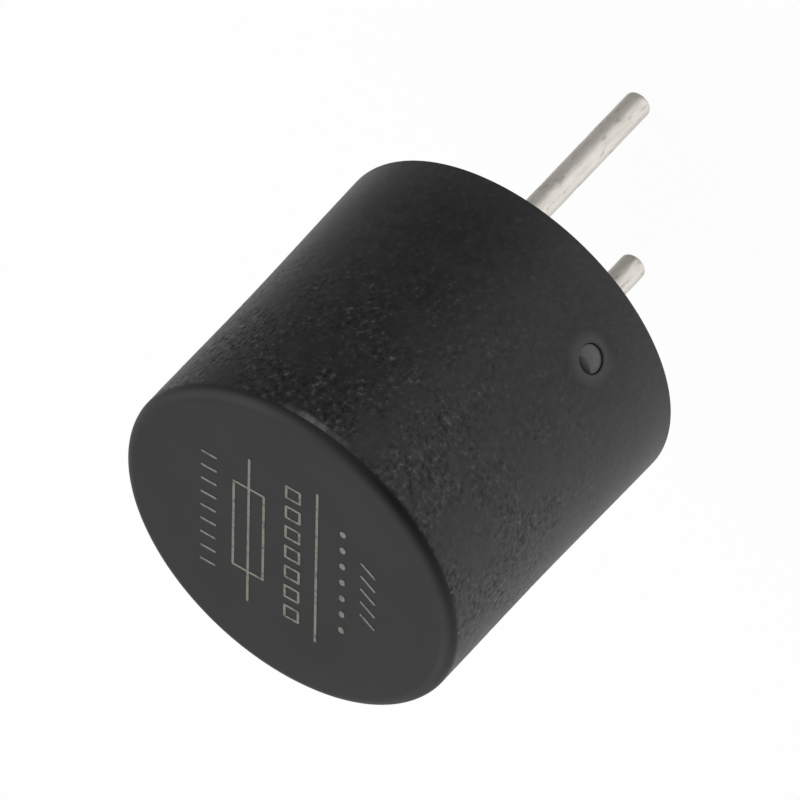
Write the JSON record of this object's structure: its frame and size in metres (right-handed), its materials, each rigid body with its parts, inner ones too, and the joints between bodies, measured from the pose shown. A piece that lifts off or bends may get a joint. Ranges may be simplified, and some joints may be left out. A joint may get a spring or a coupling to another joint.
{
  "type": "radial lead fuse",
  "caption": "Round subminiature fuse: a moulded black cap snapped over a base that holds parallel round leads, with a wound slow-blowing element inside.",
  "frame": {"origin": "on the cap's axis, in the plane of its open rim, midway between the two leads: the point that sits over the middle of the lead pattern on the circuit board", "axes": "+Z along the cap's axis towards the marked end face, with the leads pointing along -Z; +X from lead_left to lead_right along the lead line"},
  "size_m": [0.0084, 0.0084, 0.0123],
  "materials": {
    "cap_plastic": "black flame-retardant polyamide, spark-eroded side wall and finer matt end face",
    "base_plastic": "black flame-retardant polyamide, plain moulded",
    "tinned_copper": "copper wire with a satin tin plating, lightly scuffed",
    "glass_yarn": "twisted glass-fibre yarn, off-white",
    "fuse_alloy": "drawn bare alloy wire",
    "solder": "reflowed solder, satin"
  },
  "bodies": {
    "root": {"cap": "cap_plastic", "base": "base_plastic", "lead_left": "tinned_copper", "lead_right": "tinned_copper", "element_core": "glass_yarn", "fuse_wire": "fuse_alloy", "solder_left": "solder", "solder_right": "solder"}
  },
  "joints": []
}
